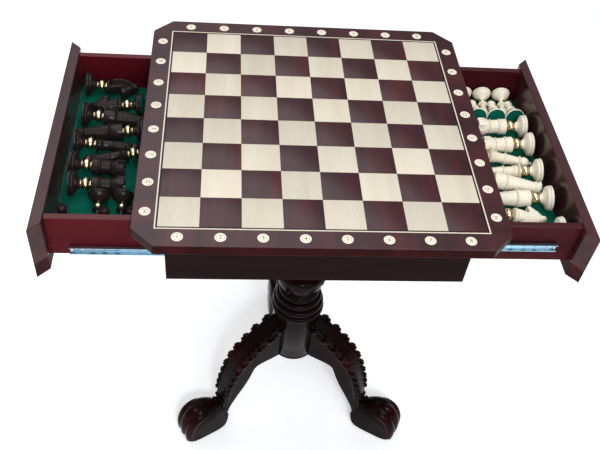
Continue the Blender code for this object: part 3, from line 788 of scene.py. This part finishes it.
def build_hub():
    """The turned block that the legs are joined to, with its four rings."""
    low, high = (corner.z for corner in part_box("hub"))
    radius = 0.045
    profile = [(radius - 0.0045, low), (radius - 0.0012, low + 0.0008), (radius, low + 0.003),
               (radius, low + 0.0055), (radius - 0.0008, low + 0.0065), (radius, low + 0.0075),
               (radius, 0.2715), (radius + 0.0004, 0.2745)]
    for inner, outer, under, over in HUB_RINGS:
        profile += bead(inner, outer, under, over)
    profile += bead(0.0340, 0.0375, 0.3205, high)
    shape = bmesh.new()
    turned(shape, profile, AXIS, 128)
    show("turned_hub", shape, "carved", "table", ["hub"], 50)


# ---- drawers

SLIDE_SHEET = 0.0010
SLIDE_BEND = 0.0022                          # outer radius of the channel's rolled edges
SCREW_PLACES = (0.016, 0.096, 0.176)         # from the slide's front end
HOLE_PLACES = (0.030, 0.046, 0.064, 0.118, 0.142, 0.200, 0.226)
SCREW_HEAD = [(0.0034, 0.0), (0.0034, 0.0006), (0.0029, 0.0013), (0.0018, 0.0017), (0.0005, 0.0018)]


def channel_section(height, depth):
    """Closed section of a rolled channel as (depth, height), the web at depth 0, lips curled in."""
    def wall(inset):
        radius = SLIDE_BEND - inset
        low = -height / 2 + inset
        points = [(depth, low)]
        for i in range(5):
            angle = math.pi * i / 8
            points.append((inset + radius * (1 - math.sin(angle)), low + radius * (1 - math.cos(angle))))
        return points + [(d, -z) for d, z in reversed(points)]
    return wall(0.0) + list(reversed(wall(SLIDE_SHEET)))


def member_frame(side, where):
    """Frame of a drawer member: x in from its front end, y out from its web, z up; and its size."""
    low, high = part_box(f"{side}_{where}_drawer_member")
    left, near = side == "left", where == "near"
    corner = (low.x if left else high.x, high.y if near else low.y, (low.z + high.z) / 2)
    turn = Matrix.Diagonal((1.0 if left else -1.0, -1.0 if near else 1.0, 1.0, 1.0))
    return Matrix.Translation(corner) @ turn, high - low


def build_slide(side, where):
    """The rolled channel of a drawer member, with its web pierced."""
    place, size = member_frame(side, where)
    section = channel_section(size.z, size.y)
    channel, holes = bmesh.new(), bmesh.new()
    loft(channel, [[place @ Vector((x, d, z)) for d, z in section] for x in (0.0, size.x)])
    for distance in HOLE_PLACES:
        hole = place @ Matrix.Translation((distance, 0.0, 0.0)) @ Matrix.Rotation(math.pi / 2, 4, "X")
        turned(holes, [(0.0026, -0.003), (0.0026, 0.003)], hole @ Matrix.Scale(1.5, 4, (1, 0, 0)), 20)
    thing = added_object("channel", finished_mesh("channel", channel))
    cutter = added_object("holes", finished_mesh("holes", holes))
    pierce = thing.modifiers.new("holes", "BOOLEAN")
    pierce.operation = "DIFFERENCE"
    pierce.object = cutter
    mesh = rounded(evaluated_mesh(thing))
    bpy.data.objects.remove(cutter)
    new_piece(f"{side}_{where}_slide_channel", mesh, "zinc", f"{side}_drawer",
              [f"{side}_{where}_drawer_member"])


def build_slide_screws(side, where):
    """The screws through a slide's web and the bumper at its front end."""
    place, _ = member_frame(side, where)
    screws = bmesh.new()
    for distance in SCREW_PLACES:
        seat = place @ Matrix.Translation((distance, SLIDE_SHEET, 0.0))
        turned(screws, SCREW_HEAD, seat @ Matrix.Rotation(-math.pi / 2, 4, "X"), 24, cross_slot)
    blob(screws, place, (0.003, 0.0032, 0.0), (0.0026, 0.0022, 0.0040))
    show(f"{side}_{where}_slide_screws", screws, "steel", f"{side}_drawer")


def cross_slot(radius, _, angle):
    """Draws a screw head's rim in a little where its cross slot runs out."""
    return radius * (1 - 0.05 * max(0.0, math.cos(4 * angle)) ** 8)


def build_balls(side, where):
    """The balls that show through the windows of a slide's cage."""
    low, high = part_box(f"{side}_{where}_ball_cage")
    shape = bmesh.new()
    radius = 0.0016
    for i in range(9):
        x = low.x + 0.007 + i * (high.x - low.x - 0.014) / 8
        for z in (low.z + radius * 0.7, high.z - radius * 0.7):
            blob(shape, Matrix(), (x, (low.y + high.y) / 2, z), (radius, radius, radius))
    show(f"{side}_{where}_slide_balls", shape, "steel", f"{side}_cages")


def build_felt(side):
    """The felt glued in the tray: slightly uneven, with edges that drop where it was cut."""
    node = f"{side}_drawer_felt"
    low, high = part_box(node)
    columns, rows = 60, 116
    sections = []
    for i in range(columns + 1):
        x = low.x + (high.x - low.x) * i / columns
        top, under = [], []
        for j in range(rows + 1):
            y = low.y + (high.y - low.y) * j / rows
            wave = noise.noise(Vector((x, y, 3.0)) * 38.0) + 0.5 * noise.noise(Vector((x, y, 7.0)) * 95.0)
            drop = 0.0003 if i in (0, columns) or j in (0, rows) else 0.0
            top.append((x, y, high.z - 0.00025 + 0.0002 * wave - drop))
            under.append((x, y, low.z))
        sections.append(top + under[::-1])
    shape = bmesh.new()
    loft(shape, sections)
    felt = show(f"{side}_felt_lining", shape, "felt", f"{side}_drawer", [node])


# ---- chessmen

BASE_RADIUS = 19.5
PAWN_RADIUS = 16.0
RIM_HEIGHT = 2.2                      # of the widest part of a base
BASE = [(18.4, 0.5), (19.3, 1.0), (19.5, 2.2), (19.3, 3.6), (18.2, 4.4), (17.5, 4.9), (18.3, 5.5),
        (18.7, 6.8), (18.3, 8.2), (17.0, 9.2), (14.2, 10.4), (11.0, 12.0), (8.4, 14.2), (6.8, 16.6),
        (6.2, 18.4)]
BALL = [(5.0, 17.4), (6.5, 17.8), (6.5, 18.6), (5.0, 19.0), (7.6, 19.9), (9.8, 21.9), (10.7, 25.0),
        (9.8, 28.1), (7.6, 30.1), (5.0, 31.0), (6.5, 31.6), (6.5, 32.4), (5.0, 33.2)]
PAWN_BASE = [(15.0, 0.5), (15.9, 1.1), (16.0, 2.2), (15.5, 3.2), (14.6, 3.6), (15.0, 4.4),
             (14.8, 5.6), (13.6, 7.4), (11.4, 9.8), (8.6, 12.0), (6.0, 14.0), (4.4, 16.2), (3.9, 18.0)]
PAWN_BALL = [(3.2, 17.4), (4.3, 18.0), (4.0, 18.7), (5.4, 19.5), (6.0, 21.4), (5.4, 23.3),
             (4.0, 24.1), (4.3, 24.8), (3.2, 25.4)]


def ringed(low_radius, high_radius, low, high, pitch=2.9, depth=0.3):
    """Profile of a taper with a groove turned every few millimetres."""
    count = max(2, round((high - low) / pitch))
    profile = []
    for i in range(count):
        for share, cut in ((0.0, depth), (0.22, 0.0), (0.78, 0.0)):
            position = (i + share) / count
            radius = low_radius + (high_radius - low_radius) * position
            profile.append((radius - cut, low + (high - low) * position))
    return profile + [(high_radius - depth, high)]


def body_profile(kind):
    """What stands on the brass ball, as (radius, height) in millimetres."""
    drum = [(8.0, 32.8), (12.6, 33.2), (13.2, 34.2), (13.2, 50.5), (12.8, 51.2)]
    if kind in ("king", "queen"):
        tall = 98.0 if kind == "king" else 92.0
        crown = [(9.2, tall + 0.6), (9.8, tall + 2), (8.4, tall + 3.2), (8.8, tall + 4.5)]
        crown += [(10.8, tall + 9.0), (10.2, tall + 9.8), (7.0, tall + 9.2), (3.2, tall + 10.0)]
        crown += [(2.6, tall + 10.8), (3.2, tall + 12.0), (2.4, tall + 13.4), (0.8, tall + 13.8)]
        return (drum + bead(12.4, 14.8, 51.4, 54.6, 6) + ringed(12.4, 8.4, 55.4, tall) + crown)
    if kind == "bishop":
        profile = [(7.0, 32.8)] + bead(9.0, 14.4, 33.4, 37.2, 6) + [(9.0, 38.2), (8.6, 39.5)]
        profile += bead(8.6, 10.2, 40.0, 42.6, 4) + bead(8.4, 9.6, 43.2, 45.4, 4)
        profile += [(8.2, 46.4), (7.8, 57.6)] + bead(8.0, 10.0, 58.2, 61.4, 5)
        profile += ringed(8.4, 6.8, 62.2, 82.0) + bead(6.8, 9.4, 82.4, 85.2, 5)
        profile += [(6.4, 86.4), (8.2, 89.0), (8.8, 92.4), (7.8, 96.2), (5.2, 99.6), (2.4, 101.6)]
        return profile + [(1.8, 102.2), (2.7, 103.4), (2.6, 105.0), (0.8, 106.2)]
    if kind == "rook":
        profile = [(8.0, 32.8), (12.4, 33.4), (12.9, 34.4), (12.6, 42.4)]
        profile += bead(12.0, 13.4, 43.0, 46.0, 5) + ringed(11.6, 11.0, 47.0, 58.0)
        profile += bead(10.8, 12.6, 58.6, 61.4, 5) + [(11.4, 62.4), (12.6, 66.0), (14.4, 69.4)]
        return profile + [(14.8, 71.0), (14.8, 79.4), (14.0, 80.2), (10.8, 80.2), (10.4, 75.4), (0.8, 75.0)]
    return [(8.0, 32.8), (12.2, 33.4)] + bead(11.4, 13.0, 34.0, 37.4, 5) + [(11.6, 38.2), (9.0, 39.2)]


def carve_for(kind):
    """How the carver's tool changes a turned radius: woven tapers, fluted drums and battlements."""
    def weave(radius, height, angle):
        mm = height / MM
        if kind == "rook" and mm > 71.2:
            return radius if mm < 74 or math.sin(5 * angle) < 0.35 else min(radius, 10.6 * MM)
        if kind == "rook" and 34 < mm < 42:
            return radius - 0.7 * MM * max(0.0, math.cos(14 * angle)) ** 2
        woven = {"king": (56, 97), "queen": (56, 91), "bishop": (63, 81), "rook": (47, 57)}
        low, high = woven.get(kind, (0, 0))
        if low < mm < high:
            return radius - 0.35 * MM * max(0.0, math.cos(18 * angle + 0.9 * mm)) ** 2
        if kind == "pawn" and mm > 40:
            return radius - 0.8 * MM * max(0.0, math.sin(7 * angle + 0.28 * mm)) ** 2
        return radius
    return weave


PAWN_BODY = [(3.6, 25.2), (7.4, 25.8), (8.4, 27.0), (7.6, 28.4), (4.8, 29.4), (4.2, 31.0), (3.9, 35.6),
             (4.4, 37.0), (6.4, 37.8), (6.6, 39.0), (4.8, 40.0), (5.4, 41.2), (7.0, 43.6), (7.6, 46.4),
             (7.0, 49.4), (5.0, 52.0), (2.6, 53.6), (2.0, 54.4), (2.6, 55.6), (1.8, 57.0), (0.6, 57.4)]

# Side view of the knight's horse above its collar: (forwards, height), in millimetres.
HORSE = [(-9.8, 38), (-12.3, 46), (-13.6, 56), (-12.3, 66), (-8.1, 75), (-3.0, 80.5), (-0.4, 85.5),
         (2.1, 80.5), (6.4, 77.5), (11.0, 73.5), (16.2, 68.0), (20.4, 63.5), (21.3, 59.5), (18.3, 56.5),
         (13.6, 58.0), (8.9, 59.0), (6.8, 55.0), (8.5, 48.5), (10.6, 42.0), (9.8, 38)]
HORSE_HALF = 0.0086                   # of the horse's thickness
# Eye, nostril, ear and cheek: centre, half-sizes and tilt, in millimetres and radians.
HORSE_FEATURES = [
    (9.0, 6.6, 70.5, 2.6, 1.8, 1.9, 0.0), (18.3, 4.8, 62.0, 1.8, 1.5, 1.4, 0.0),
    (2.1, 5.0, 79.5, 2.2, 2.0, 5.0, 0.2), (7.6, 5.4, 61.5, 5.2, 3.6, 4.2, 0.0),
]


def add_horse(shape):
    outline = [(x * MM, z * MM) for x, z in smooth_curve(HORSE + HORSE[:1], 4)[:-1]]
    pivot = (-0.001, 0.056)
    levels = []
    for i in range(11):
        u = i / 5 - 1
        levels.append((HORSE_HALF * u, 0.70 + 0.30 * (1 - abs(u) ** 2.6) ** (1 / 2.6)))
    slab(shape, outline, levels, pivot)
    mane = smooth_curve(HORSE[:7], 4)
    for size in (0.99, 0.95, 0.89, 0.82, 0.75):
        across = HORSE_HALF * (1 - ((size - 0.70) / 0.30) ** 2.6) ** (1 / 2.6)
        path = [(pivot[0] + (x * MM - pivot[0]) * size, pivot[1] + (z * MM - pivot[1]) * size)
                for x, z in mane]
        radii = [(1.25 + 0.45 * math.sin(1.5 * i + 20 * size)) * MM for i in range(len(path))]
        for side in (-1.0, 1.0):
            tube(shape, path, radii, Matrix.Translation((0.0, side * across, 0.0)), 10)
    for side in (-1.0, 1.0):
        for x, y, z, half_x, half_y, half_z, tilt in HORSE_FEATURES:
            centre = Vector((x, side * y, z)) * MM
            blob(shape, Matrix(), centre, (half_x * MM, half_y * MM, half_z * MM), tilt)


def scaled(profile):
    return [(radius * MM, height * MM) for radius, height in profile]


def man_mesh(kind):
    """The wooden parts of one chessman, standing on its base."""
    shape = bmesh.new()
    small = kind == "pawn"
    turned(shape, scaled(PAWN_BASE if small else BASE), Matrix(), 56)
    turned(shape, scaled(PAWN_BODY if small else body_profile(kind)), Matrix(), 90, carve_for(kind))
    if kind == "knight":
        add_horse(shape)
        return carved_mesh("knight", shape, 0.0006)
    return finished_mesh(kind, shape, 40)


# How a chessman lies: where along it, and at what radius, its upper end touches the felt (mm).
REST_POINT = {"king": (107, 10.8), "queen": (101, 10.8), "bishop": (93, 8.8), "rook": (78, 14.8),
              "knight": (78, 11.0), "pawn": (46, 7.4)}

# Kind, place of the base's middle (x, y) in millimetres and heading of its top in degrees. None for
# the heading stands the man up.
BLACK_MEN = [
    ("knight", -361, 155, 1), ("knight", -265, 104, 178), ("king", -357, 77, -3),
    ("queen", -258, 41, 180), ("bishop", -362, 11, 0.5), ("bishop", -246, -6, 188),
    ("rook", -361, -36, -5), ("rook", -358, -79, 0),
    ("pawn", -312, -97, -89), ("pawn", -278, -97, -90), ("pawn", -352, -156, None),
    ("pawn", -295, -160, None), ("pawn", -243, -97, -90), ("pawn", -209, -97, -90),
    ("pawn", -259, -160, None), ("pawn", -224, -160, None),
]
WHITE_MEN = [
    ("pawn", 344, 172, -95), ("pawn", 310, 172, -94), ("pawn", 276, 172, -93), ("pawn", 242, 172, -95),
    ("pawn", 354.5, 105, 90), ("pawn", 322, 105, 86), ("pawn", 289.5, 105, 88), ("pawn", 257, 105, 87),
    ("rook", 364, 79, 178), ("rook", 364, 35, 180), ("bishop", 254, 13, -7),
    ("bishop", 363, -28, 177), ("king", 249, -44, -8), ("queen", 363, -89, 177),
    ("knight", 262, -122.5, -4), ("knight", 364, -153.5, 180),
]


def lying(kind, x, y, heading, floor):
    """Where a chessman is when it lies on the felt on its base's rim and near its top."""
    if heading is None:
        return Matrix.Translation((x * MM, y * MM, floor))
    radius = PAWN_RADIUS if kind == "pawn" else BASE_RADIUS
    distance, end = REST_POINT[kind]
    tilt = math.atan((radius - end) / (distance - RIM_HEIGHT))
    height = floor + (radius * math.cos(tilt) + RIM_HEIGHT * math.sin(tilt)) * MM
    place = Matrix.Translation((x * MM, y * MM, height))
    place = place @ Matrix.Rotation(math.radians(heading), 4, "Z")
    return place @ Matrix.Rotation(math.pi / 2 + tilt, 4, "Y")


def roll_of(kind, index, side):
    """Turns a man about its own axis: the knights lie on one side or the other, the rest anyhow."""
    return SIDES[side] * math.pi / 2 if kind == "knight" else 0.7 * index


def build_men(side, men, finish, colour):
    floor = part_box(f"{side}_drawer_felt")[1].z + 0.0001
    body = f"{side}_drawer"
    brass, felt = bmesh.new(), bmesh.new()
    meshes, counts = {}, {}
    for index, (kind, x, y, heading) in enumerate(men):
        place = lying(kind, x, y, heading, floor) @ Matrix.Rotation(roll_of(kind, index, side), 4, "Z")
        if kind not in meshes:
            meshes[kind] = man_mesh(kind)
        counts[kind] = counts.get(kind, 0) + 1
        new_piece(f"{colour}_{kind}_{counts[kind]}", meshes[kind], finish, body, place=place)
        small = kind == "pawn"
        turned(brass, scaled(PAWN_BALL if small else BALL), place, 40)
        radius = (PAWN_RADIUS if small else BASE_RADIUS) - 1.0
        pad = [(radius, 0.55), (radius, 0.15), (radius - 0.5, 0.0), (0.6, 0.0)]
        turned(felt, scaled(pad[::-1]), place, 40)
    show(f"{colour}_brass_collars", brass, "brass", body)
    show(f"{colour}_base_felts", felt, "felt", body)


# ---- finishes of the CAD nodes

NODE_FINISHES = {
    "border": ["tabletop"], "maple_line": ["stringing_light"], "ebony_line": ["stringing_dark"],
    "apron": ["apron_front", "apron_back"],
    "case_board": ["case_bottom", "centre_divider", "front_cleat", "rear_cleat"],
    "carved": ["mounting_plate", "hub_cap"],
    "steel": ["hub_nut", "hub_washer", "tie_rod", "plate_nut"]
             + [f"plate_screw_{i}" for i in range(1, 5)],
    "sole": [f"{leg}_foot_pad" for leg in LEG_ANGLES],
    "beech": [f"{leg}_{level}_dowel" for leg in LEG_ANGLES for level in ("upper", "lower")],
    "drawer_front": [f"{side}_drawer_front" for side in SIDES],
    "left_side": ["left_drawer_near_side", "left_drawer_far_side"],
    "right_side": ["right_drawer_near_side", "right_drawer_far_side"],
    "box_end": [f"{side}_drawer_{where}" for side in SIDES for where in ("back", "bottom")],
    "zinc": [f"{side}_{where}_cabinet_member" for side in SIDES for where in ("near", "far")],
    "cage": [f"{side}_{where}_ball_cage" for side in SIDES for where in ("near", "far")],
}


def finish_nodes():
    for finish, nodes in NODE_FINISHES.items():
        for node in nodes:
            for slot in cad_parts[node].material_slots:
                slot.material = FINISHES[finish]


# ---- studio

def build_stage():
    shape = bmesh.new()
    bmesh.ops.create_grid(shape, x_segments=8, y_segments=8, size=14.0)
    floor = added_object("floor", finished_mesh("floor", shape))
    pale = Finish("pale_floor", 0.9, Specular_IOR_Level=0.1, Emission_Strength=0.34,
                  Emission_Color=(1.0, 1.0, 1.0, 1.0))
    speckle = pale.noise(pale.place, 6.0, 3.0)
    pale.surface(Base_Color=pale.ramp(speckle, [(0.3, (0.93,) * 3), (0.7, (0.95,) * 3)]))
    floor.data.materials.append(pale.material)


def add_softbox(name, location, target, size, power, colour):
    light = bpy.data.lights.new(name, "AREA")
    light.shape = "RECTANGLE"
    light.size, light.size_y = size
    light.energy = power
    light.color = colour
    lamp = added_object(name, light)
    lamp.location = location
    lamp.rotation_euler = (Vector(target) - Vector(location)).to_track_quat("-Z", "Y").to_euler()


def build_studio():
    world = bpy.data.worlds.new("studio")
    world.use_nodes = True
    background = world.node_tree.nodes["Background"]
    background.inputs["Color"].default_value = (0.97, 0.98, 1.0, 1.0)
    background.inputs["Strength"].default_value = 0.23
    bpy.context.scene.world = world
    add_softbox("overhead", (-0.35, 0.50, 3.2), (-0.2, 0.2, 0.7), (3.0, 5.0), 90.0, (0.96, 0.98, 1.0))
    add_softbox("front", (0.9, -2.4, 2.3), (0.0, 0.0, 0.45), (1.4, 1.4), 26.0, (1.0, 0.99, 0.97))
    add_softbox("highlight", (0.15, -2.2, 2.6), (0.0, 0.0, 0.35), (0.32, 0.32), 30.0, (0.85, 0.92, 1.0))
    add_softbox("low_fill", (-1.9, -1.8, 0.9), (0.0, 0.0, 0.35), (1.4, 1.0), 5.0, (1.0, 1.0, 1.0))
    bpy.context.scene.view_settings.view_transform = "Standard"


def build_camera():
    camera = bpy.data.cameras.new("camera")
    camera.sensor_width = 36.0
    camera.lens = 47.90
    camera.shift_x = -0.0031
    camera.shift_y = -0.0025
    camera.clip_end = 60.0
    thing = added_object("camera", camera)
    thing.location = (-0.1358, -0.9236, 1.4890)
    thing.rotation_euler = tuple(math.radians(angle) for angle in (43.180, -4.849, -3.191))
    bpy.context.scene.camera = thing


build_camera()
build_stage()
build_studio()
finish_nodes()
build_squares()
build_discs()
build_legs()
build_column()
build_hub()
for side in SIDES:
    for where in ("near", "far"):
        build_slide(side, where)
        build_slide_screws(side, where)
        build_balls(side, where)
    build_felt(side)
build_men("left", BLACK_MEN, "ebony", "black")
build_men("right", WHITE_MEN, "ivory", "white")
